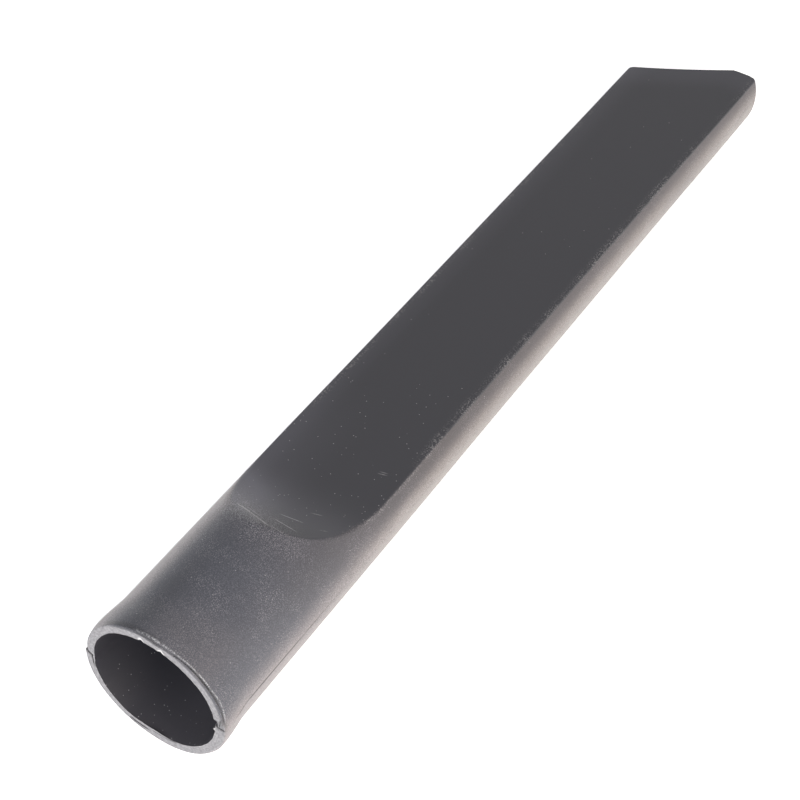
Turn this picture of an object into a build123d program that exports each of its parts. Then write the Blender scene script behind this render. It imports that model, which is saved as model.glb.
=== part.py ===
from build123d import *
import os
from math import cos, radians, sin, sqrt, tan

# A flat crevice nozzle for a vacuum cleaner, blow-moulded as one hollow piece. A round socket pushes
# onto the suction tube. Behind a scooped shoulder it goes over into a long flat blade, whose two flats
# close in on each other towards a slanted suction mouth with a blunt nose.
# Frame: origin at the centre of the socket's mouth, +Y along the bore towards the tip, +Z up out of
# the upper flat. The parting plane of the mould is Z = 0, and the long side of the tip is at +X.

# Driving dimensions, in millimetres and degrees
overall_length = 290.0       # mouth of the socket to the nose of the tip
bore_diameter = 35.0         # socket bore, a push fit on a 35 mm suction tube
socket_wall = 2.1            # wall round the socket
blade_wall = 1.8             # wall of the shoulder and the blade
socket_length = 42.0         # round part, from the mouth to the crest of the shoulder
scoop_radius = 45.0          # hollow of the shoulder, seen from the side
tip_thickness = 14.7         # over both flats, at the nose
flat_taper = 0.5             # lean of each flat towards the axis, in degrees
edge_radius = 1.2            # rounding of the blade's long edges and of the shoulder's crest
lip_height = 0.8             # how far the lip stands out round the mouth
lip_land = 2.0               # length of the lip at its full height
lip_length = 9.0             # mouth to where the lip has run out into the socket
lip_rounding = 0.7           # rounding of the lip's outer edge
slant_angle = 33.0           # cut of the suction mouth, from square across the blade, in degrees
nose_width = 9.2             # blunt end that is left at the long side
nose_rounding = 1.7          # rounding of the nose's outer corner
nose_corner = 1.5            # how far that rounding reaches in from the side
slant_rounding = 3.0         # rounding between the nose and the slanted cut

# Sizes that follow
bore_radius = bore_diameter / 2
outer_radius = bore_radius + socket_wall
cavity_radius = outer_radius - blade_wall
lip_radius = outer_radius + lip_height
tip_half_thickness = tip_thickness / 2
taper = radians(flat_taper)
overrun = outer_radius       # how far cutters and raw stock run past what they cut


def tube(radius, start, end):
    """Round bar along Y, from one station to another."""
    return extrude(Plane.XZ.offset(-start) * Circle(radius), -(end - start))


def scoop(inset):
    """What is taken off the upper side: the hollow of the shoulder and all above the flat.

    The flat leans down towards the tip, and the hollow is an arc that runs into it without a kink and
    meets the top of the socket at the crest. The inset moves both surfaces inwards by a wall.
    """
    flat_at_crest = tip_half_thickness + (overall_length - socket_length) * tan(taper)
    crest_rise = (outer_radius - flat_at_crest) * cos(taper)
    crest_to_foot = sqrt(2 * scoop_radius * crest_rise - crest_rise**2)
    along = Vector(cos(taper), -sin(taper))
    upwards = Vector(sin(taper), cos(taper))
    crest = Vector(socket_length, outer_radius)
    centre = crest + along * crest_to_foot + upwards * (scoop_radius - crest_rise)
    arc_radius = scoop_radius + inset
    arc_foot = centre - upwards * arc_radius
    arc_top = centre - along * arc_radius
    arc_middle = centre - (along + upwards).normalized() * arc_radius
    flat_end = arc_foot + along * (overall_length + overrun)
    hollow = ThreePointArc(arc_top, arc_middle, arc_foot)
    rest = Polyline(arc_foot, flat_end, (flat_end.X, arc_top.Y), arc_top)
    return extrude(Plane.YZ * make_face(hollow + rest), outer_radius + overrun, both=True)


def flattened_tube(radius, start, inset):
    """Round bar that is scooped and flattened alike from above and below."""
    upper = scoop(inset)
    return tube(radius, start, overall_length + overrun) - upper - mirror(upper, Plane.XY)


def slant_trim():
    """What the slanted cut of the suction mouth takes off, as a wedge seen from above."""
    reach = outer_radius + overrun
    slope = tan(radians(slant_angle))
    nose_start = outer_radius - nose_width
    low = overall_length - (nose_start + reach) * slope
    high = overall_length + (reach - nose_start) * slope
    wedge = Polyline((-reach, low), (reach, high), (-reach, high), close=True)
    return extrude(make_face(wedge), reach, both=True)


def runs_along_blade(edge):
    """True for the edges that the scoops leave along the blade and over the crests of the shoulder."""
    return edge.bounding_box().size.Y > edge_radius and abs(edge.center().Z) > tip_half_thickness / 2


def nose_trim():
    """What is taken off past the square nose, with the rounding of its corner swept round the axis."""
    corner_centre = Vector(overall_length - nose_rounding, outer_radius - nose_corner)
    on_nose = corner_centre + (nose_rounding, 0)
    past_side = corner_centre + (0, nose_rounding)
    corner = RadiusArc(on_nose, past_side, -nose_rounding)
    far_end = overall_length + 2 * overrun
    outermost = outer_radius + overrun
    around = [(past_side.X, outermost), (far_end, outermost), (far_end, 0), (on_nose.X, 0)]
    rest = Polyline(past_side, *around, on_nose)
    return revolve(Plane.YZ * make_face(corner + rest), Axis.Y)


def outside():
    """Outer form of socket, shoulder, blade and tip, solid inside and still without the lip."""
    blank = flattened_tube(outer_radius, 0, 0)
    blade = fillet(blank.edges().filter_by(runs_along_blade), edge_radius)
    slanted = blade - nose_trim() - slant_trim()
    return fillet(slanted.edges().filter_by(Axis.Z), slant_rounding)


def lip():
    """Ring that thickens the mouth and runs out softly into the socket."""
    run_out = (lip_length - lip_land) / 2
    land_end = Vector(lip_land, lip_radius)
    lip_end = Vector(lip_length, outer_radius)
    slope = Bezier(land_end, land_end + (run_out, 0), lip_end - (run_out, 0), lip_end)
    rest = Polyline(lip_end, (lip_length, bore_radius), (0, bore_radius), (0, lip_radius), land_end)
    ring = revolve(Plane.YZ * make_face(slope + rest), Axis.Y)
    outer_edge = ring.edges().filter_by(GeomType.CIRCLE).group_by(Axis.Y)[0].sort_by(SortBy.RADIUS)[-1]
    return fillet(outer_edge, lip_rounding)


def cavity():
    """Air space: the socket's bore, and behind it the flattened duct to the suction mouth."""
    bore = tube(bore_radius, -overrun, socket_length)
    duct = flattened_tube(cavity_radius, socket_length, blade_wall)
    return bore + duct


crevice_nozzle = outside() + lip() - cavity()

os.makedirs("parts", exist_ok=True)
export_step(crevice_nozzle, "parts/crevice_nozzle.step")
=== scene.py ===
import math

import bpy
import numpy as np
from mathutils import Matrix, Vector


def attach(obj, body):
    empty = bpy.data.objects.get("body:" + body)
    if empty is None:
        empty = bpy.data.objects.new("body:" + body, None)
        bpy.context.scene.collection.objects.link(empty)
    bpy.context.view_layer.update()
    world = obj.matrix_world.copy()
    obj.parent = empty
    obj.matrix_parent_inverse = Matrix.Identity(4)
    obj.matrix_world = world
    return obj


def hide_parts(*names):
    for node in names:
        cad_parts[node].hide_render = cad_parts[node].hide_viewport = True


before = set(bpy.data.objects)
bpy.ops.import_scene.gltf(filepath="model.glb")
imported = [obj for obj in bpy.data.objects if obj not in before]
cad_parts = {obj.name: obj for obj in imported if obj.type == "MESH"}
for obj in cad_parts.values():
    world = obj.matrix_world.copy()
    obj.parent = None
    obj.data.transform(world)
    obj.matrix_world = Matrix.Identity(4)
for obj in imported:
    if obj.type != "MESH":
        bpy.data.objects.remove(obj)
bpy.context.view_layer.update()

# The nozzle body
# One hollow piece of black polyethylene, blown in a mould of two halves that part along both narrow sides.
# The mouth of the socket and the slanted tip were trimmed off with a knife, and nothing is fixed to it.
# Lengths are in millimetres from the mouth, and angles in degrees from the right parting line over the top.
MM = 0.001
LENGTH = 290.0
TUBE_RADIUS = 19.6
RIGHT_SEAM = 0.0
LEFT_SEAM = 180.0


def smooth(x, start, end):
    """Soft step from 0 at start to 1 at end."""
    t = np.clip((x - start) / (end - start), 0, 1)
    return t * t * (3 - 2 * t)


def stretch(x, start, full, easing, end):
    """Soft rise from 0 to 1, and a soft fall to 0 again further on."""
    return smooth(x, start, full) * (1 - smooth(x, easing, end))


def hill(x, centre, width):
    """Soft hump of height 1 round a centre."""
    return np.exp(-(((x - centre) / width) ** 2))


def turn(degrees, centre):
    """How far an angle lies past another, the short way round."""
    return (degrees - centre + 180) % 360 - 180


# The scooped shoulder, above and below alike, and the flats behind it, which lean in towards the tip
CREST = 42.0
SCOOP_RADIUS = 45.0
TIP_HALF_THICKNESS = 7.35
TAPER = math.radians(0.5)
flat_at_crest = TIP_HALF_THICKNESS + (LENGTH - CREST) * math.tan(TAPER)
crest_rise = (TUBE_RADIUS - flat_at_crest) * math.cos(TAPER)
crest_to_foot = math.sqrt(2 * SCOOP_RADIUS * crest_rise - crest_rise**2)
along = np.array([math.cos(TAPER), -math.sin(TAPER)])
upwards = np.array([math.sin(TAPER), math.cos(TAPER)])
scoop_centre = np.array([CREST, TUBE_RADIUS]) + along * crest_to_foot + upwards * (SCOOP_RADIUS - crest_rise)


def under_flat(y, z):
    """Depth of a point under the scooped shoulder or the flat behind it."""
    u = (y - scoop_centre[0]) * along[0] + (np.abs(z) - scoop_centre[1]) * along[1]
    v = (y - scoop_centre[0]) * upwards[0] + (np.abs(z) - scoop_centre[1]) * upwards[1]
    return np.where(u < 0, np.hypot(u, v), -v) - SCOOP_RADIUS


BLADE_EDGE_EASE = 0.32
CREST_EDGE_EASE = 1.6


def edge_ease(y, angle):
    """How softly a flat turns into the round: tight along the blade, broad over the left of the crest."""
    return BLADE_EDGE_EASE + CREST_EDGE_EASE * (1 - smooth(y, 43, 60)) * smooth(-np.cos(angle), -0.3, 0.5)


LIP_RADIUS = 20.39
HALVINGS = 36


def section(y, angle, radius, inset, ease):
    """Distance from the axis to the eased section of the tube and the flats, along each angle in radians."""
    low = np.zeros_like(y)
    high = np.full_like(y, LIP_RADIUS + 1)
    for _ in range(HALVINGS):
        r = (low + high) / 2
        side = np.maximum(ease - (radius - r), 0)
        flat = np.maximum(ease - (under_flat(y, r * np.sin(angle)) - inset), 0)
        inside = np.hypot(side, flat) < ease
        low = np.where(inside, r, low)
        high = np.where(inside, high, r)
    return low


# The trimmed tip: a slanted cut, bowed by the knife, with a blunt nose at its long side
SLANT = math.tan(math.radians(33.0))
NOSE_START = 10.4
NOSE_EASE = 0.35
CUT_BOW = 0.45
BOW_MIDDLE = -4.0
BOW_HALF_LENGTH = 13.5
CUT_UPTURN = 0.15
UPTURN_RUN = 17.0
SHORT_CORNER = 16.8
SHORT_CORNER_FALL = 0.4


def tip_end(x):
    """Where the trimmed tip ends, at a distance across the blade."""
    slanted = LENGTH - (NOSE_START - x) * SLANT
    bow = CUT_BOW * np.clip(1 - ((x - BOW_MIDDLE) / BOW_HALF_LENGTH) ** 2, 0, 1)
    upturn = CUT_UPTURN * np.clip(-x / UPTURN_RUN, 0, 1.1) ** 2
    rounded = SHORT_CORNER_FALL * np.clip(-x - SHORT_CORNER, 0, 3) ** 2
    bowed = slanted - bow + upturn - rounded
    blunt = np.full_like(x, LENGTH)
    between = np.clip(0.5 + (blunt - bowed) / (2 * NOSE_EASE), 0, 1)
    return bowed * between + blunt * (1 - between) - NOSE_EASE * between * (1 - between)


# The groove that the knife left round the upper right of the lip, and the burr beside it
GROOVE_STATION = 0.25
GROOVE_SWERVE = 0.5
BURR_BESIDE = 0.45
BURR_SWERVE = 0.3
GROOVE_SHARE = 0.7
GROOVE_UNEVEN = 0.2
GROOVE_DEEPEST = 0.7


def trim_groove(degrees):
    """Station of the groove, station of the burr, and how much of both there is."""
    a = np.radians(degrees)
    groove = GROOVE_STATION + GROOVE_SWERVE * stretch(degrees, 5, 20, 52, 78)
    ridge = groove + BURR_BESIDE + BURR_SWERVE * hill(degrees, 26, 7)
    amount = GROOVE_SHARE + GROOVE_UNEVEN * np.sin(37 * a) * np.sin(11 * a + 1)
    amount = amount + GROOVE_DEEPEST * hill(degrees, 43, 6)
    return groove, ridge, amount * stretch(degrees, 6, 12, 92, 106)


# The round outside: the lip is worn lower above the left seam and flatter at the lower right, the blade
# shrank to a slight waist, and a thread of flash stands on the right seam behind the lip
LIP_LAND = 2.0
LIP_END = 11.0
LIP_EDGE = 0.35
LIP_EDGE_TRIMMED = 0.3
LIP_EDGE_RUBBED = 0.5
WORN_LIP = 0.6
FLATTER_LIP = 0.16
GROOVED_LIP = 0.08
GROOVE_DEPTH = 0.3
GROOVE_WIDTH = 0.24
BURR_HEIGHT = 0.08
BURR_WIDTH = 0.2
NOSE_ROUNDING = 2.1
NOSE_CORNER = 1.9
WAIST = 0.16
SEAM_DEPTH = 0.1
SEAM_TURN = 0.4
FLASH_HEIGHT = 0.16
FLASH_TURN = 0.6


def outer_radius(y, degrees):
    """Radius of the round outside, from the lip to the corner of the nose."""
    groove, ridge, trimmed = trim_groove(degrees)
    full_lip = (LIP_RADIUS - TUBE_RADIUS) * (1 - smooth(y, LIP_LAND, LIP_END))
    flatter = FLATTER_LIP * hill(turn(degrees, 324), 0, 24)
    full_lip = full_lip * (1 - flatter - GROOVED_LIP * np.minimum(trimmed, 1))
    worn = stretch(degrees, 116, 138, 178.4, 179.2)
    worn_lip = WORN_LIP * stretch(y, -1.6, 3.0, 4, 13)
    edge = LIP_EDGE + LIP_EDGE_TRIMMED * stretch(degrees, 6, 14, 118, 140)
    edge = edge + LIP_EDGE_RUBBED * (hill(turn(degrees, 326), 0, 18) + hill(degrees, 183, 9))
    into_edge = np.clip(edge - y, 0, edge)
    rounding = edge - np.sqrt(edge**2 - into_edge**2)
    lip = TUBE_RADIUS + full_lip * (1 - worn) + worn_lip * worn - rounding
    lip = lip - GROOVE_DEPTH * trimmed * hill(y, groove, GROOVE_WIDTH)
    lip = lip + BURR_HEIGHT * trimmed * hill(y, ridge, BURR_WIDTH) * (y > 0.3)
    lip = np.minimum(lip, LIP_RADIUS)
    into_corner = np.clip(y - (LENGTH - NOSE_ROUNDING), 0, NOSE_ROUNDING)
    nose = TUBE_RADIUS - NOSE_CORNER + np.sqrt(NOSE_ROUNDING**2 - into_corner**2)
    waist = WAIST * stretch(y, 75, 130, 225, 278)
    at_seams = hill(turn(degrees, RIGHT_SEAM), 0, SEAM_TURN) + hill(turn(degrees, LEFT_SEAM), 0, SEAM_TURN)
    seam = SEAM_DEPTH * at_seams * smooth(y, 6, 13) * (1 - 0.8 * smooth(y, 40, 60))
    flash = FLASH_HEIGHT * hill(turn(degrees, 0.3), 0, FLASH_TURN) * stretch(y, 3.5, 5.5, 7, 13)
    return np.where(y > LENGTH - NOSE_ROUNDING, np.minimum(lip, nose), lip - waist) - seam + flash


# The trimmed mouth: its face is cracked at both seams, chipped beside the right one and scored by the knife
LEFT_CRACK = 179.1
LEFT_CRACK_LEAN = 1.6
LEFT_CRACK_FOOT = 19.72
RIGHT_CRACK = 0.6
RIGHT_CRACK_HOOK = 9.0
RIGHT_HOOK_BELOW = 18.4
CRACK_DEPTH = 0.7
BEND_DEPTH = 0.5
CHIP_DEPTH = 0.6
SCORE_DEPTH = 0.4
SPLIT_DEPTH = 0.2
RADIANS_IN_A_DEGREE = 0.01745


def past_left_crack(degrees, r):
    """How far past the left crack an angle lies; the crack leans as it runs in."""
    return turn(degrees, LEFT_CRACK + (LEFT_CRACK_FOOT - r) * LEFT_CRACK_LEAN)


def mouth_gaps(degrees, r):
    """Depth of the cracks, the chip and the scored lines in the face of the mouth."""
    left = past_left_crack(degrees, r) * r * RADIANS_IN_A_DEGREE
    hook = RIGHT_CRACK_HOOK * np.clip(RIGHT_HOOK_BELOW - r, 0, 1) ** 2
    right = turn(degrees, RIGHT_CRACK + hook) * r * RADIANS_IN_A_DEGREE
    crack = hill(left, 0, 0.18) * smooth(r, 18.05, 18.3) + hill(right, 0, 0.2) * (1 - smooth(r, 19.8, 20.3))
    bend = stretch(degrees, 180.5, 182.5, 187, 197) * hill(r, 18.25 + 0.0027 * (degrees - 183) ** 2, 0.16)
    chip = hill(turn(degrees, 4.5), 0, 3.0) * (1 - smooth(r, 17.9, 18.5))
    score = stretch(degrees, 242, 248, 256, 264) * hill(r, 19.25 - 0.035 * (degrees - 250), 0.3)
    score = score + 0.5 * stretch(degrees, 262, 268, 284, 292) * hill(r, 17.9, 0.14)
    split = stretch(degrees, 2, 4, 9, 13) * hill(r, 18.8 + 0.09 * (degrees - 3), 0.11)
    return (CRACK_DEPTH * crack + BEND_DEPTH * bend + CHIP_DEPTH * chip
            + SCORE_DEPTH * score + SPLIT_DEPTH * split)


CUT_BELOW_PEAK = 0.14
CUT_WAVES = ((0.05, 2, 0.7), (0.03, 5, 3.5), (0.02, 11, 1.4))
CUT_STEP = 0.2
CUT_STEP_RUN = 15


def mouth_cut(degrees, r):
    """How deep the trimmed mouth lies under its highest point: waves, a step at the left crack, the gaps."""
    a = np.radians(degrees)
    wave = CUT_BELOW_PEAK + sum(height * np.sin(count * a + lag) for height, count, lag in CUT_WAVES)
    left = past_left_crack(degrees, r)
    step = CUT_STEP * (left < 0) * np.exp(np.minimum(left, 0) / CUT_STEP_RUN)
    return wave + step + mouth_gaps(degrees, r)


# The bore and the duct: the wall was blown out unevenly at the mouth, and its inner edge is torn
BORE_RADIUS = 17.5
DUCT_RADIUS = 17.8
DUCT_WALL = 1.8
DUCT_EASE = 0.5
THIN_PLACES = (
    (0.55, (184, 194, 238, 258)),
    (0.15, (204, 216, 238, 258)),
    (0.22, (8, 16, 128, 150)),
    (-0.12, (44, 52, 71, 76)),
)
THIN_SPOT = (0.12, 295, 12)
THIN_RUN = 12
FLAP = (80.8, 82.5, 94.5, 96)
FLAP_HEIGHT = 0.06
FLAP_WAVES = ((0.06, 23, 0), (0.05, 41, 1))
ROUGH_WAVES = ((0.03, 31, 2), (0.02, 57, 0))
CHIPS = ((0.5, 79.6, 1.6), (0.5, 97.4, 1.5), (0.3, 5, 2.4))
BULGE = (0.42, 269, 9)
SPIKE = (0.5, 356.4, 1.2)
BURR_RUN = 0.7


def thinned_wall(degrees):
    """How much thinner the wall is at the mouth than further in."""
    amount, centre, width = THIN_SPOT
    return amount * hill(degrees, centre, width) + sum(
        amount * stretch(degrees, *angles) for amount, angles in THIN_PLACES)


def torn_edge(degrees):
    """How far the trimmed inner edge of the mouth stands out into the bore."""
    a = np.radians(degrees)
    flap = FLAP_HEIGHT + sum(height * np.sin(count * a + lag) for height, count, lag in FLAP_WAVES)
    rough = sum(height * np.sin(count * a + lag) for height, count, lag in ROUGH_WAVES)
    chips = sum(depth * hill(degrees, centre, width) for depth, centre, width in CHIPS)
    humps = sum(height * hill(turn(degrees, centre), 0, width) for height, centre, width in (BULGE, SPIKE))
    return flap * stretch(degrees, *FLAP) - chips + humps + rough


def duct_radius(y, degrees):
    """Radius of the bore and of the sides of the duct behind it."""
    bore = BORE_RADIUS + (DUCT_RADIUS - BORE_RADIUS) * smooth(y, CREST - 1, CREST + 2)
    return bore - torn_edge(degrees) * np.exp(-y / BURR_RUN) + thinned_wall(degrees) * np.exp(-y / THIN_RUN)


# The mesh: rows of points round the piece, closer together where there is more to show. The columns gather
# at the flats' edges along the blade, and past the blade's cut the stations are shares of what is left.
BLADE_CUT = 250.0
BLADE_COLUMNS = (60, 72)


def spread(*runs):
    """Places from 0 on, in runs of (last place, number of steps)."""
    places = [np.array([0.0])]
    for last, count in runs:
        places.append(np.linspace(places[-1][-1], last, count + 1)[1:])
    return np.concatenate(places)


round_turn = spread(
    (12, 36), (72, 44), (104, 44), (174, 40), (186, 36), (240, 24), (292, 44), (348, 32), (360, 24),
)[:-1]
blade_turn = spread(
    (2.5, 10), (19, 26), (32, 34), (72, 10), (104, 44), (148, 8), (161, 28), (174, 4), (177.5, 9), (182.5, 18),
    (186, 9), (199, 4), (212, 16), (240, 4), (292, 44), (328, 6), (341, 22), (348, 4), (357.5, 12), (360, 12),
)[:-1]


def rows_along(stations, radius_of, inset, ease_of):
    """Station, distance from the axis and angle of each point in rows round the piece, one row per station."""
    y = np.repeat(stations[:, None], len(round_turn), 1)
    blade_share = smooth(np.minimum(y, BLADE_CUT), *BLADE_COLUMNS)
    degrees = round_turn * (1 - blade_share) + blade_turn * blade_share
    angle = np.radians(degrees)
    tip_share = np.clip(y - BLADE_CUT, 0, 1)
    end = np.full_like(y, LENGTH - 8)
    for _ in range(6):
        r = section(end, angle, radius_of(end, degrees), inset, ease_of(end, angle))
        end = tip_end(r * np.cos(angle))
    y = np.minimum(y, BLADE_CUT)
    y = y + tip_share * (end - BLADE_CUT)
    r = section(y, angle, radius_of(y, degrees), inset, ease_of(y, angle))
    return y, r, degrees


def as_points(y, r, degrees):
    """Points of rows given by their station, distance from the axis and angle."""
    return np.stack([r * np.cos(np.radians(degrees)), y, r * np.sin(np.radians(degrees))], -1)


outer_stations = np.concatenate([
    spread((1.8, 22), (2.6, 4), (12, 16), (38, 20), (45, 22), (60, 44), (72, 18), (BLADE_CUT, 30)),
    BLADE_CUT + spread((0.9, 11), (1.0, 15))[1:],
])
inner_stations = np.concatenate([
    spread((2, 10), (38, 8), (45, 8), (72, 20), (BLADE_CUT, 14)),
    BLADE_CUT + spread((1, 9))[1:],
])
MOUTH_REACH = 2.0
outer_y, outer_r, outer_deg = rows_along(outer_stations, outer_radius, 0.0, edge_ease)
inner_y, inner_r, inner_deg = rows_along(inner_stations, duct_radius, DUCT_WALL, lambda y, angle: DUCT_EASE)
outer_y = outer_y + mouth_cut(outer_deg, outer_r) * np.clip(1 - outer_y / MOUTH_REACH, 0, 1) ** 2
inner_y = inner_y + mouth_cut(inner_deg, inner_r) * np.clip(1 - inner_y / MOUTH_REACH, 0, 1) ** 2
outside = as_points(outer_y, outer_r, outer_deg)
duct = as_points(inner_y, inner_r, inner_deg)

rim_share = np.linspace(0, 1, 26)[1:-1][:, None]
rim_r = inner_r[0] + (outer_r[0] - inner_r[0]) * rim_share
rim_deg = np.repeat(round_turn[None], len(rim_share), 0)
mouth_face = as_points(mouth_cut(rim_deg, rim_r), rim_r, rim_deg)

tip_share = np.array([0.06, 0.14, 0.5, 0.86, 0.94])[:, None]
tip_x, tip_z = (outside[-1, :, k] + (duct[-1, :, k] - outside[-1, :, k]) * tip_share for k in (0, 2))
tip_face = np.stack([tip_x, tip_end(tip_x), tip_z], -1)

grid = np.concatenate([outside, tip_face, duct[::-1], mouth_face])
row_count, column_count = grid.shape[:2]
index = np.arange(row_count * column_count).reshape(row_count, column_count)
next_row = np.roll(index, -1, 0)
quads = np.stack([next_row, np.roll(next_row, -1, 1), np.roll(index, -1, 1), index], -1).reshape(-1, 4)
body_mesh = bpy.data.meshes.new("nozzle_body")
body_mesh.from_pydata((grid.reshape(-1, 3) * MM).tolist(), [], quads.tolist())
body_mesh.polygons.foreach_set("use_smooth", np.ones(len(quads), bool))
body_mesh.set_sharp_from_angle(angle=math.radians(50))

# Masks that the finish follows, one value for each point
part_of_row = np.repeat(np.arange(4), [len(outside), len(tip_face), len(duct), len(mouth_face)])
on_outside, on_tip, in_duct, on_mouth = (
    np.repeat((part_of_row == part)[:, None], column_count, 1).astype(float) for part in range(4))
x, y, z = np.moveaxis(grid, -1, 0)
height = np.abs(z)
r = np.hypot(x, z)
degrees = np.degrees(np.arctan2(z, x)) % 360
past_right = turn(degrees, RIGHT_SEAM)

# Where the flats begin, a painted highlight line along the rounding of their edges, and rubbed dots beside it
past_edge = TUBE_RADIUS - r - under_flat(y, z) + 0.25
past_edge = past_edge + 0.2 * smooth(y, 85, 115) - 0.75 * hill(y, 58, 8) * smooth(x, 0, 10)
softness = 0.3 - 0.2 * smooth(x, 2, 8) + 0.12 * hill(y, 90, 10)
on_flat = smooth(past_edge, -softness, softness)
edge_highlight = hill(under_flat(y, z), 0.05, 0.4) * hill(TUBE_RADIUS - r, 0.6, 0.8)
edge_highlight = edge_highlight * smooth(y, 84, 100) * (1 - 0.7 * smooth(y, 215, 260))
edge_dots = hill(past_edge, -0.35, 0.45) * stretch(y, 46, 54, 84, 100) * smooth(x, 0, 8)

# Where the round is frosted: it runs on over the left of the crest, and is handled smooth in three places
crest_side = (1 - smooth(y, 43, 59)) * (1 - smooth(x, -9, 5))
handled = 0.5 * smooth(y, 60, 80) * smooth(height, 2.5, 6.5)
handled = handled + 0.34 * stretch(y, 14, 38, 60, 80) * hill(past_right, 32, 16)
handled = handled + 0.4 * hill(degrees, 106, 12) * (1 - smooth(y, 12, 40))

# Painted sheen: lighter where the round turns towards both seams, and on the flare behind the lip
right_painted_sheen = 0.9 * (1 - smooth(past_right, -8, 24)) * (1 - smooth(-past_right, 50, 85))
right_painted_sheen = right_painted_sheen * (1 - 0.4 * (1 - smooth(y, 5, 13)) * smooth(past_right, 4, 18))
right_painted_sheen = right_painted_sheen * (1 - 0.85 * smooth(y, 50, 80) * smooth(past_right, 6, 22))
right_painted_sheen = right_painted_sheen * (1 + 0.15 * (1 - smooth(y, 26, 40)) * hill(past_right, 4, 12))
right_painted_sheen = right_painted_sheen * (1 + 0.25 * hill(y, 82, 20) - 0.38 * hill(y, 238, 18))
left_painted_sheen = 1.35 * stretch(degrees, 115, 142, 205, 235) * (1 - 0.3 * (1 - smooth(y, 4, 14)))
lip_painted_sheen = 0.15 * (1 - smooth(y, 6, 20)) * stretch(degrees, 30, 50, 86, 106)

# Painted sheen on the flats: along the left edge, over the scoop where it turns towards the mouth, and beside
# the slanted cut
left_edge_painted_sheen = 0.21 * (1 - smooth(x, -17.5, -10)) * smooth(y, 50, 58)
left_edge_painted_sheen = left_edge_painted_sheen + 0.2 * (1 - smooth(x, -16, 2)) * stretch(y, 50, 58, 72, 105)
scoop_painted_sheen = 1.22 * hill(x, -15, 11) * hill(y, 50, 8.5) + 0.26 * hill(y, 54, 9)
tip_painted_sheen = 0.2 * smooth(y - tip_end(x), -14, -3) * smooth(y, 200, 260)

# Round the mouth: the groove and its burr, painted shade in the cracks and in the recess by the right crack,
# the shaded edges, and the torn inner edge with a painted highlight along it
station = np.zeros_like(y)
station[: len(outside)] = outer_stations[:, None]
groove, ridge, trimmed = trim_groove(degrees)
groove_line = 1.6 * trimmed * hill(station, groove, 0.26)
burr_line = trimmed * hill(station, ridge, 0.15 + 0.15 * smooth(degrees, 60, 80))
lip_shadow = 0.45 * stretch(degrees, 78, 88, 126, 142) * stretch(station, 0.1, 0.35, 1.0, 2.2)
near_mouth = on_mouth + on_outside * (1 - smooth(station, 0.5, 1.6))
cracks = np.clip(mouth_gaps(degrees, r) / 0.22, 0, 1)
recess_painted_shade = 0.35 * hill(turn(degrees, 4), 0, 7) + 0.06 * hill(degrees, 72, 14)
past_face = smooth(r + 0.4 * hill(degrees, 85, 6), 19.5, 19.85) * stretch(degrees, 4, 10, 118, 134)
from_bore = np.clip(r - inner_r[0], 0, None)
shaded_edge = 0.45 * past_face * smooth(degrees, 54, 66)
shaded_edge = shaded_edge + 0.15 * hill(from_bore, 0.3, 0.2) * stretch(degrees, 44, 54, 78, 86)
dashes = 1.8 * (hill(degrees, 97.6, 2.1) + hill(degrees, 79.6, 2.4)) * hill(from_bore, 0.2, 0.45)
sliver = 0.6 * hill(turn(degrees, 356.6), 0, 1.6) * (1 - smooth(from_bore, 0.2, 0.7))
# A painted highlight along the bore's inner edge, round the lower half
inner_edge_highlight = 0.45 * (1 - smooth(from_bore, 0.05, 0.2)) * stretch(degrees, 184, 200, 340, 356)

masks = {
    "round_finish": on_outside * np.maximum(1 - on_flat, crest_side) * (1 - handled),
    "painted_sheen": on_outside * (1 - on_flat) * np.maximum(np.maximum(right_painted_sheen, left_painted_sheen), lip_painted_sheen),
    "flat_painted_sheen": on_outside * on_flat * np.clip(left_edge_painted_sheen + scoop_painted_sheen + tip_painted_sheen, 0, 1),
    # edge: a painted highlight along the flats' edges, and rubbed dots
    "edge": on_outside * np.clip(1.5 * (edge_highlight + edge_dots), 0, 1),
    "crest": on_outside * hill(y, 44.0, 4.5) * (1 - smooth(x, 0, 14)) * smooth(height, 8, 13),
    "seam": 1.2 * on_outside * (hill(past_right, 0, 0.55) + hill(turn(degrees, LEFT_SEAM), 0, 0.55))
    * stretch(y, 4, 8, 20, 56),
    "inside": in_duct,
    # Paler towards the bottom and right of the duct, near the mouth
    "paler_lower_duct": in_duct * (1 - smooth(y, 60, 120)) * smooth(-z, -2, 15) * smooth(x, -16, 10),
    "dusty": on_outside * (1 + on_flat * (2.4 - 3.1 * smooth(y, 74, 130)))
    + in_duct * (0.4 + 6.0 * smooth(-z, 1, 11)),
    "cut": np.maximum(on_mouth + on_tip, on_outside * (1 - smooth(station, 0.1, 0.3))) * (1 - past_face),
    # Painted shade in the cracks and the recess by the right one, on the shaded edges and under the lip
    "painted_shade": np.clip(near_mouth * (cracks + recess_painted_shade) + on_mouth * shaded_edge + on_outside * lip_shadow, 0, 1),
    "groove": np.clip(on_outside * groove_line, 0, 1),
    "burr": np.clip(on_outside * burr_line, 0, 1),
    # Whitened torn dashes and flash, and the painted highlight along the inner edge
    "torn_and_highlight": np.clip(on_mouth * (dashes + sliver + inner_edge_highlight), 0, 1),
}
for name, values in masks.items():
    attribute = body_mesh.attributes.new(name, "FLOAT", "POINT")
    attribute.data.foreach_set("value", values.reshape(-1).astype(np.float32))


def linear(hex_colour):
    """sRGB hex to the linear colour that a shader takes."""
    parts = [int(hex_colour[k:k + 2], 16) / 255 for k in (1, 3, 5)]
    return [p / 12.92 if p <= 0.04045 else ((p + 0.055) / 1.055) ** 2.4 for p in parts] + [1.0]


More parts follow.
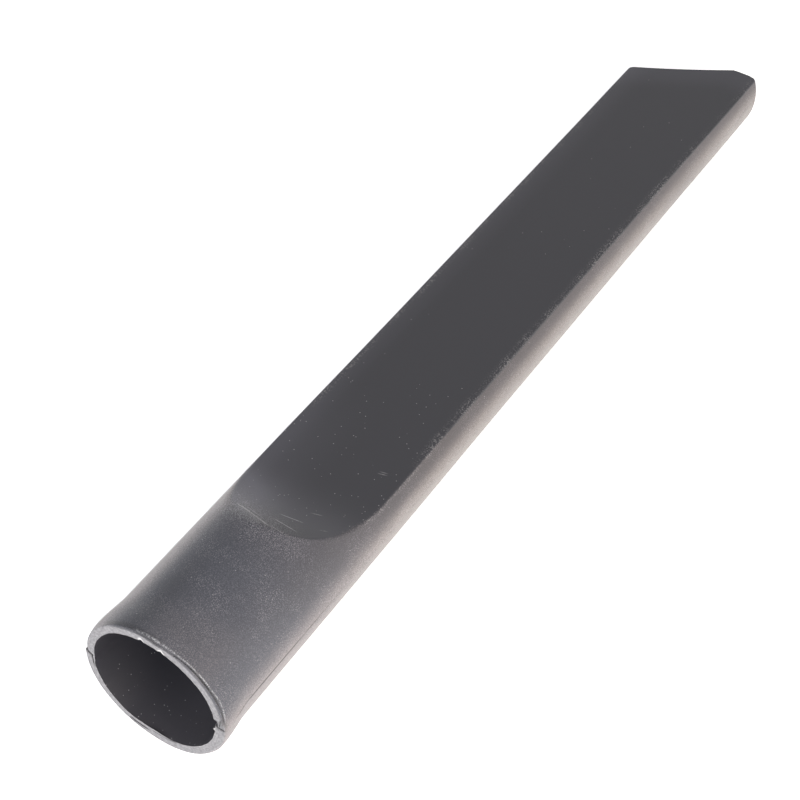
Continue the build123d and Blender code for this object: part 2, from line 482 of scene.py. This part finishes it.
def node(tree, kind, inputs, output=0, **settings):
    """Adds a node with its settings, sets or links its inputs, and gives one of its outputs."""
    made = tree.nodes.new(kind)
    for name, value in settings.items():
        setattr(made, name, value)
    for socket, value in inputs.items():
        if isinstance(value, bpy.types.NodeSocket):
            tree.links.new(value, made.inputs[socket])
        else:
            made.inputs[socket].default_value = value
    return made.outputs[output] if made.outputs else None


# Carbon-black polyethylene straight from the mould: a dull dark grey with a bluish cast. The flats are
# smooth; the round parts carry the mould's fine frosting. Painted sheen lightens the round towards both parting
# lines and behind the lip, and the flats along their left edge, over the scoop and by the slanted cut; the
# lower duct is paler near the mouth. Handling left rubbed dots and hair scratches, and the knife left paler,
# whitened faces at the mouth. Painted shade darkens the seams, cracks and recesses, and painted highlights run
# along the flats' edges and the bore's inner edge.
SMOOTH_FLAT = "#3B3B40"
FROSTED_SOCKET = "#50525A"
FROSTED_BLADE = "#574F4E"
# Painted sheen on the round parts, at the socket and along the blade
SOCKET_PAINTED_SHEEN = "#908A8B"
BLADE_PAINTED_SHEEN = "#958F8C"
# Painted sheen on the flats
PAINTED_FLAT_SHEEN = "#6D6D77"
DUCT_WALLS = "#3A3A40"
# Paler tone low in the duct near the mouth
PALER_LOWER_DUCT = "#4E4D52"
FROST = "#9A989D"
DUST = "#B9B7BA"
# Rubbed dots, and the painted highlight along the flats' edges
NICKS_AND_EDGE_HIGHLIGHT = "#8B8A8B"
SCUFFED_CREST = "#A09EA2"
SCRATCH = "#B4B3B6"
# Painted shade in the seams
SEAM_PAINTED_SHADE = "#1C1B1D"
KNIFE_CUT_DARK = "#8B8B8E"
KNIFE_CUT_PALE = "#B2B2B5"
# Painted shade round the mouth
PAINTED_MOUTH_SHADE = "#28272A"
# Whitened torn edges, and the painted highlight along the inner edge
TORN_AND_HIGHLIT_EDGE = "#EDEDED"
GROOVE_SHADE = "#201F22"
FRAYED_BURR = "#C4C6CA"
POLYETHYLENE_IOR = 1.5
MOULDED_ROUGHNESS = 0.45
CUT_ROUGHNESS = 0.65
FROST_RELIEF = 0.05 * MM

plastic = bpy.data.materials.new("blow_moulded_polyethylene")
plastic.use_nodes = True
tree = plastic.node_tree
tree.nodes.clear()
place = node(tree, "ShaderNodeTexCoord", {}, "Object")
in_mm = node(tree, "ShaderNodeVectorMath", {0: place, "Scale": 1 / MM}, operation="SCALE")
axes = node(tree, "ShaderNodeSeparateXYZ", {0: in_mm}).node.outputs
mask = {name: node(tree, "ShaderNodeAttribute", {}, "Fac", attribute_name=name) for name in masks}

# Frosting of 0.1 mm grit, drawn 0.24 mm wide so that it shows; nicks of 0.4 mm, clouds of 6 mm and patches
# of 9 mm; streaks 0.9 mm wide and 30 mm long, drawn out along the nozzle
grain = node(tree, "ShaderNodeTexNoise", {"Vector": in_mm, "Scale": 1 / 0.24, "Detail": 1.0})
nicks = node(tree, "ShaderNodeTexNoise", {"Vector": in_mm, "Scale": 1 / 0.4, "Detail": 2.0})
clouds = node(tree, "ShaderNodeTexNoise", {"Vector": in_mm, "Scale": 1 / 6, "Detail": 3.0})
patches = node(tree, "ShaderNodeTexNoise", {"Vector": in_mm, "Scale": 1 / 9, "Detail": 3.0})
lengthwise = node(tree, "ShaderNodeVectorMath", {
    0: in_mm, 1: (1 / 0.9, 1 / 30, 1 / 0.9)}, operation="MULTIPLY")
streaks = node(tree, "ShaderNodeTexNoise", {"Vector": lengthwise, "Scale": 1.0, "Detail": 2.0})

# The tint of the round parts and of the painted sheen warms from the socket to the blade
towards_tip = node(tree, "ShaderNodeMapRange", {"Value": axes["Y"], "From Min": 30.0, "From Max": 95.0})
round_tint, painted_sheen_tint = (node(tree, "ShaderNodeMix", {
    "Factor": towards_tip, "A": linear(at_socket), "B": linear(at_blade)}, "Result", data_type="RGBA")
    for at_socket, at_blade in ((FROSTED_SOCKET, FROSTED_BLADE), (SOCKET_PAINTED_SHEEN, BLADE_PAINTED_SHEEN)))
# The painted sheen, broken up by clouds, grit and streaks
painted_sheen_share = mask["painted_sheen"]
for pattern, contrast, least in ((clouds, 0.7, 0.65), (grain, 1.9, 0.05), (streaks, 0.5, 0.75)):
    uneven = node(tree, "ShaderNodeMath", {0: pattern, 1: contrast, 2: least}, operation="MULTIPLY_ADD")
    painted_sheen_share = node(tree, "ShaderNodeMath", {0: painted_sheen_share, 1: uneven}, operation="MULTIPLY")
# The painted sheen on the flats
flat_painted_sheen = node(tree, "ShaderNodeMath", {0: mask["flat_painted_sheen"], 1: 0.75}, operation="MULTIPLY")

# Frosting: fine pits all over the round parts, and whitened grit on them in patches
pitted = node(tree, "ShaderNodeMath", {0: grain, 1: 1.0, 2: 0.5}, operation="MULTIPLY_ADD")
frost = node(tree, "ShaderNodeMapRange", {
    "Value": grain, "From Min": 0.55, "From Max": 0.66, "To Max": 0.55}, interpolation_type="SMOOTHSTEP")
patchy = node(tree, "ShaderNodeMapRange", {
    "Value": patches, "From Min": 0.4, "From Max": 0.6, "To Min": 0.3}, interpolation_type="SMOOTHSTEP")
for share in (patchy, mask["round_finish"]):
    frost = node(tree, "ShaderNodeMath", {0: frost, 1: share}, operation="MULTIPLY")

# Dust specks of 0.2 mm, in cells of 1.4 mm of which few hold one; they gather where the patches are
cells = node(tree, "ShaderNodeTexVoronoi", {"Vector": in_mm, "Scale": 1 / 1.4}).node.outputs
chance = node(tree, "ShaderNodeSeparateColor", {"Color": cells["Color"]})
drift = node(tree, "ShaderNodeMapRange", {
    "Value": patches, "From Min": 0.36, "From Max": 0.56, "To Max": -0.24})
rarity = node(tree, "ShaderNodeMath", {0: mask["dusty"], 1: drift, 2: 1.0}, operation="MULTIPLY_ADD")
chosen = node(tree, "ShaderNodeMath", {0: chance, 1: rarity}, operation="GREATER_THAN")
thick = node(tree, "ShaderNodeMath", {0: mask["inside"], 1: 0.1, 2: 1.0}, operation="MULTIPLY_ADD")
specks = node(tree, "ShaderNodeMapRange", {
    "Value": cells["Distance"], "From Min": 0.12, "From Max": 0.06, "To Max": 0.64},
    interpolation_type="SMOOTHSTEP")
for share in (thick, chosen):
    specks = node(tree, "ShaderNodeMath", {0: specks, 1: share}, operation="MULTIPLY")

# The painted edge highlight and the rubbed dots, broken into nicks that come and go, and scuffs over the crest
# of the shoulder
nicks_and_edge_highlight = node(tree, "ShaderNodeMapRange", {
    "Value": nicks, "From Min": 0.52, "From Max": 0.62, "To Max": 0.75}, interpolation_type="SMOOTHSTEP")
for share in (mask["edge"], patchy):
    nicks_and_edge_highlight = node(tree, "ShaderNodeMath", {0: nicks_and_edge_highlight, 1: share}, operation="MULTIPLY")
scuffed = node(tree, "ShaderNodeMapRange", {
    "Value": grain, "From Min": 0.48, "From Max": 0.64, "To Max": 0.7}, interpolation_type="SMOOTHSTEP")
scuffed = node(tree, "ShaderNodeMath", {0: scuffed, 1: mask["crest"]}, operation="MULTIPLY")

# Scratches over the shoulder: both ends of each in plan, and how strongly it shows. They are hairlines,
# drawn 0.25 mm wide so that they show, only on the upper side and broken where the nicks are.
SCRATCHES = (
    ((-9.3, 47.9), (-6.4, 47.8), 0.5), ((-9.6, 46.0), (2.6, 42.7), 1.0), ((2.2, 43.3), (6.7, 42.9), 0.6),
    ((0.6, 47.5), (8.1, 46.9), 0.9), ((0.0, 50.6), (6.4, 52.0), 0.7), ((4.8, 56.8), (8.0, 58.1), 0.5),
    ((10.4, 52.3), (12.5, 53.6), 0.4), ((-7.5, 46.6), (-1.0, 45.2), 0.5), ((10.2, 78.6), (13.0, 79.4), 0.5),
    ((10.4, 79.4), (12.9, 80.0), 0.4), ((-8.2, 45.85), (2.4, 42.9), 1.0),
)
SCRATCH_FADE = 1.2
scratched = 0.0
for start, end, strength in SCRATCHES:
    length = math.dist(start, end)
    way = ((end[0] - start[0]) / length, (end[1] - start[1]) / length)
    off = node(tree, "ShaderNodeVectorMath", {0: in_mm, 1: (*start, 0.0)}, operation="SUBTRACT")
    run, aside = (node(tree, "ShaderNodeVectorMath", {
        0: off, 1: direction}, "Value", operation="DOT_PRODUCT")
        for direction in ((way[0], way[1], 0.0), (-way[1], way[0], 0.0)))
    aside = node(tree, "ShaderNodeMath", {0: aside}, operation="ABSOLUTE")
    line = node(tree, "ShaderNodeMapRange", {
        "Value": aside, "From Min": 0.2, "From Max": 0.05, "To Max": strength}, interpolation_type="SMOOTHSTEP")
    for faint, strong in ((0.0, SCRATCH_FADE), (length, length - SCRATCH_FADE)):
        fade = node(tree, "ShaderNodeMapRange", {"Value": run, "From Min": faint, "From Max": strong})
        line = node(tree, "ShaderNodeMath", {0: line, 1: fade}, operation="MULTIPLY")
    scratched = node(tree, "ShaderNodeMath", {0: line, 1: scratched}, operation="MAXIMUM")
on_top = node(tree, "ShaderNodeMapRange", {
    "Value": axes["Z"], "From Min": 8.0, "From Max": 9.0, "To Max": 0.85})
broken = node(tree, "ShaderNodeMapRange", {"Value": nicks, "From Min": 0.32, "From Max": 0.48})
for share in (on_top, broken):
    scratched = node(tree, "ShaderNodeMath", {0: scratched, 1: share}, operation="MULTIPLY")
# Painted shade in the seam's shallow groove, in a dark line that comes and goes
seam_painted_shade = node(tree, "ShaderNodeMapRange", {"Value": clouds, "From Min": 0.3, "From Max": 0.45})
seam_painted_shade = node(tree, "ShaderNodeMath", {0: seam_painted_shade, 1: mask["seam"]}, operation="MULTIPLY")

# Knife-cut faces: whitened, with a mottle of 0.5 mm drawn out to 1 mm along the cut, taken at the middle of
# the wall; the groove is jagged and the burr frayed where the nicks are
WALL_MIDDLE = 19.0
sweep = node(tree, "ShaderNodeMath", {0: axes["Z"], 1: axes["X"]}, operation="ARCTAN2")
sweep = node(tree, "ShaderNodeMath", {0: sweep, 1: WALL_MIDDLE}, operation="MULTIPLY")
across = node(tree, "ShaderNodeVectorMath", {0: in_mm, 1: (1.0, 0.0, 1.0)}, operation="MULTIPLY")
across = node(tree, "ShaderNodeVectorMath", {0: across}, "Value", operation="LENGTH")
across = node(tree, "ShaderNodeMath", {0: across, 1: 1 / 0.5}, operation="MULTIPLY")
knife_way = node(tree, "ShaderNodeCombineXYZ", {"X": across, "Y": sweep})
mottle = node(tree, "ShaderNodeTexNoise", {"Vector": knife_way, "Scale": 1.0, "Detail": 3.0})
mottled = node(tree, "ShaderNodeMapRange", {"Value": mottle, "From Min": 0.34, "From Max": 0.66})
cut_face = node(tree, "ShaderNodeMix", {
    "Factor": mottled, "A": linear(KNIFE_CUT_DARK), "B": linear(KNIFE_CUT_PALE)}, "Result", data_type="RGBA")
ragged = node(tree, "ShaderNodeMapRange", {
    "Value": nicks, "From Min": 0.4, "From Max": 0.58}, interpolation_type="SMOOTHSTEP")
jagged = node(tree, "ShaderNodeMath", {0: ragged, 1: 0.6, 2: 0.4}, operation="MULTIPLY_ADD")
jagged = node(tree, "ShaderNodeMath", {0: mask["groove"], 1: jagged}, operation="MULTIPLY")
frayed = node(tree, "ShaderNodeMath", {0: mask["burr"], 1: ragged}, operation="MULTIPLY")

# From the bare plastic upwards: where each layer shows, what it looks like, and how it lies on the last
finish = linear(SMOOTH_FLAT)
for where, look, lies in (
    (mask["round_finish"], round_tint, "MIX"),
    (painted_sheen_share, painted_sheen_tint, "MIX"),
    (flat_painted_sheen, linear(PAINTED_FLAT_SHEEN), "MIX"),
    (mask["inside"], linear(DUCT_WALLS), "MIX"),
    (mask["paler_lower_duct"], linear(PALER_LOWER_DUCT), "MIX"),
    (mask["round_finish"], pitted, "MULTIPLY"),
    (frost, linear(FROST), "MIX"),
    (specks, linear(DUST), "MIX"),
    (nicks_and_edge_highlight, linear(NICKS_AND_EDGE_HIGHLIGHT), "MIX"),
    (scuffed, linear(SCUFFED_CREST), "MIX"),
    (scratched, linear(SCRATCH), "MIX"),
    (seam_painted_shade, linear(SEAM_PAINTED_SHADE), "MIX"),
    (mask["cut"], cut_face, "MIX"),
    (mask["painted_shade"], linear(PAINTED_MOUTH_SHADE), "MIX"),
    (mask["torn_and_highlight"], linear(TORN_AND_HIGHLIT_EDGE), "MIX"),
    (jagged, linear(GROOVE_SHADE), "MIX"),
    (frayed, linear(FRAYED_BURR), "MIX"),
):
    finish = node(tree, "ShaderNodeMix", {
        "Factor": where, "A": finish, "B": look}, "Result", data_type="RGBA", blend_type=lies)
dullness = node(tree, "ShaderNodeMapRange", {
    "Value": mask["cut"], "To Min": MOULDED_ROUGHNESS, "To Max": CUT_ROUGHNESS})
relief = node(tree, "ShaderNodeBump", {"Strength": 0.25, "Distance": FROST_RELIEF, "Height": grain})
skin = node(tree, "ShaderNodeBsdfPrincipled", {
    "Base Color": finish, "Roughness": dullness, "IOR": POLYETHYLENE_IOR, "Normal": relief})
node(tree, "ShaderNodeOutputMaterial", {"Surface": skin})
body_mesh.materials.append(plastic)
nozzle_body = bpy.data.objects.new("nozzle_body", body_mesh)
bpy.context.scene.collection.objects.link(nozzle_body)
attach(nozzle_body, "root")
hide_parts("crevice_nozzle")

# The studio floor
# A white seamless paper sheet under the nozzle, which lies on the lower crest of its shoulder and the two
# lower corners of its tip, so the sheet leans about three degrees in the nozzle's frame.
FLOOR_HALF = 2500.0
FLOOR_DROP = 0.15
FLOOR_GLOW = 0.62
PAPER_WHITE = "#F4F4F4"
PLAIN_WHITE = "#FFFFFF"
CORNER_ACROSS = -17.4
CORNER_STATION = 272.0
rest_crest = np.array([0.0, CREST, -TUBE_RADIUS])
rest_nose = np.array([NOSE_START, LENGTH, -TIP_HALF_THICKNESS])
flat_at_corner = TIP_HALF_THICKNESS + (LENGTH - CORNER_STATION) * math.tan(TAPER)
rest_corner = np.array([CORNER_ACROSS, CORNER_STATION, -flat_at_corner])
floor_up = np.cross(rest_nose - rest_crest, rest_corner - rest_crest)
floor_up /= np.linalg.norm(floor_up)
floor_across = np.cross([0.0, 1.0, 0.0], floor_up)
floor_across /= np.linalg.norm(floor_across)
floor_away = np.cross(floor_up, floor_across)
floor_middle = rest_crest - floor_up * FLOOR_DROP
corners = [
    floor_middle + FLOOR_HALF * (side * floor_across + end * floor_away)
    for side, end in ((-1, -1), (1, -1), (1, 1), (-1, 1))
]
floor_mesh = bpy.data.meshes.new("studio_floor")
floor_mesh.from_pydata([tuple(corner * MM) for corner in corners], [], [(0, 1, 2, 3)])

# Matt white paper: it takes the nozzle's soft shadow, and glows enough to be seen white, also in the gloss
sheet = bpy.data.materials.new("white_paper_sheet")
sheet.use_nodes = True
tree = sheet.node_tree
tree.nodes.clear()
seen = node(tree, "ShaderNodeLightPath", {}).node.outputs
seen_direct = node(tree, "ShaderNodeMath", {
    0: seen["Is Camera Ray"], 1: seen["Is Transmission Ray"]}, operation="MAXIMUM")
shine = node(tree, "ShaderNodeMath", {
    0: seen_direct, 1: FLOOR_GLOW, 2: seen["Is Glossy Ray"]}, operation="MULTIPLY_ADD")
glow = node(tree, "ShaderNodeEmission", {"Color": linear(PLAIN_WHITE), "Strength": shine})
paper = node(tree, "ShaderNodeBsdfDiffuse", {"Color": linear(PAPER_WHITE)})
lit = node(tree, "ShaderNodeAddShader", {0: paper, 1: glow})
node(tree, "ShaderNodeOutputMaterial", {"Surface": lit})
floor_mesh.materials.append(sheet)
floor = bpy.data.objects.new("studio_floor", floor_mesh)
bpy.context.scene.collection.objects.link(floor)

# The light
# A white cloth tent all round, brighter low down where the gloss of the sides looks at it. Three square
# softboxes stand outside: a warm one low at the right, one in front and a weak fill at the left front.
TENT_LIGHT = 0.34
TENT_LOW = 1.35
TENT_HIGH = 0.6
TENT_RISE = 0.4
LAMP_AIM = Vector((0.0, 0.12, 0.0))
SOFTBOXES = (
    ("side_softbox", (1.15, -0.2, 0.42), 0.8, 12.6, "#FFF3E8"),
    ("front_softbox", (0.38, -0.95, 0.85), 0.6, 7.6, "#FBFAFF"),
    ("fill_softbox", (-0.75, -0.85, 0.5), 0.6, 3.0, "#FBF9FF"),
)
scene = bpy.context.scene
scene.view_settings.view_transform = "Standard"
world = bpy.data.worlds.new("white_tent")
scene.world = world
world.use_nodes = True
tree = world.node_tree
tree.nodes.clear()
seen = node(tree, "ShaderNodeLightPath", {}).node.outputs
seen_direct = node(tree, "ShaderNodeMath", {
    0: seen["Is Camera Ray"], 1: seen["Is Transmission Ray"]}, operation="MAXIMUM")
looking = node(tree, "ShaderNodeTexCoord", {}, "Generated")
looking_up = node(tree, "ShaderNodeSeparateXYZ", {0: looking}, "Z")
in_gloss = node(tree, "ShaderNodeMapRange", {
    "Value": looking_up, "From Max": TENT_RISE, "To Min": TENT_LOW, "To Max": TENT_HIGH},
    interpolation_type="SMOOTHSTEP")
level = node(tree, "ShaderNodeMix", {"Factor": seen["Is Glossy Ray"], "A": TENT_LIGHT, "B": in_gloss}, "Result")
level = node(tree, "ShaderNodeMix", {"Factor": seen_direct, "A": level, "B": 1.0}, "Result")
sky = node(tree, "ShaderNodeBackground", {"Color": linear(PLAIN_WHITE), "Strength": level})
node(tree, "ShaderNodeOutputWorld", {"Surface": sky})

for name, stand, size, power, tint in SOFTBOXES:
    lamp_data = bpy.data.lights.new(name, "AREA")
    lamp_data.shape = "SQUARE"
    lamp_data.size = size
    lamp_data.energy = power
    lamp_data.color = linear(tint)[:3]
    lamp = bpy.data.objects.new(name, lamp_data)
    scene.collection.objects.link(lamp)
    lamp.location = stand
    lamp.rotation_euler = (LAMP_AIM - Vector(stand)).to_track_quat("-Z", "Y").to_euler()

# The camera
# A short telephoto lens, looking down along the nozzle from in front of the socket and to its right.
# Its angles, distance and focal length are those at which the outline and the mouth match the photograph.
AZIMUTH = math.radians(30.07)
ELEVATION = math.radians(46.32)
ROLL = math.radians(3.36)
DISTANCE = 485.0
AIM = np.array([-3.01, 110.91, 0.0])
FOCAL_PIXELS = 1808.0
IMAGE_PIXELS = 800.0
backwards = np.array([
    math.sin(AZIMUTH) * math.cos(ELEVATION), -math.cos(AZIMUTH) * math.cos(ELEVATION), math.sin(ELEVATION)
])
level_right = np.array([math.cos(AZIMUTH), math.sin(AZIMUTH), 0.0])
level_up = np.cross(backwards, level_right)
right = math.cos(ROLL) * level_right + math.sin(ROLL) * level_up
up = -math.sin(ROLL) * level_right + math.cos(ROLL) * level_up
eye = (AIM + backwards * DISTANCE) * MM
camera_data = bpy.data.cameras.new("camera")
camera_data.sensor_width = 36.0
camera_data.lens = FOCAL_PIXELS / IMAGE_PIXELS * camera_data.sensor_width
camera_data.clip_start = 0.01
camera = bpy.data.objects.new("camera", camera_data)
scene.collection.objects.link(camera)
camera.matrix_world = Matrix((
    (right[0], up[0], backwards[0], eye[0]),
    (right[1], up[1], backwards[1], eye[1]),
    (right[2], up[2], backwards[2], eye[2]),
    (0.0, 0.0, 0.0, 1.0),
))
scene.camera = camera
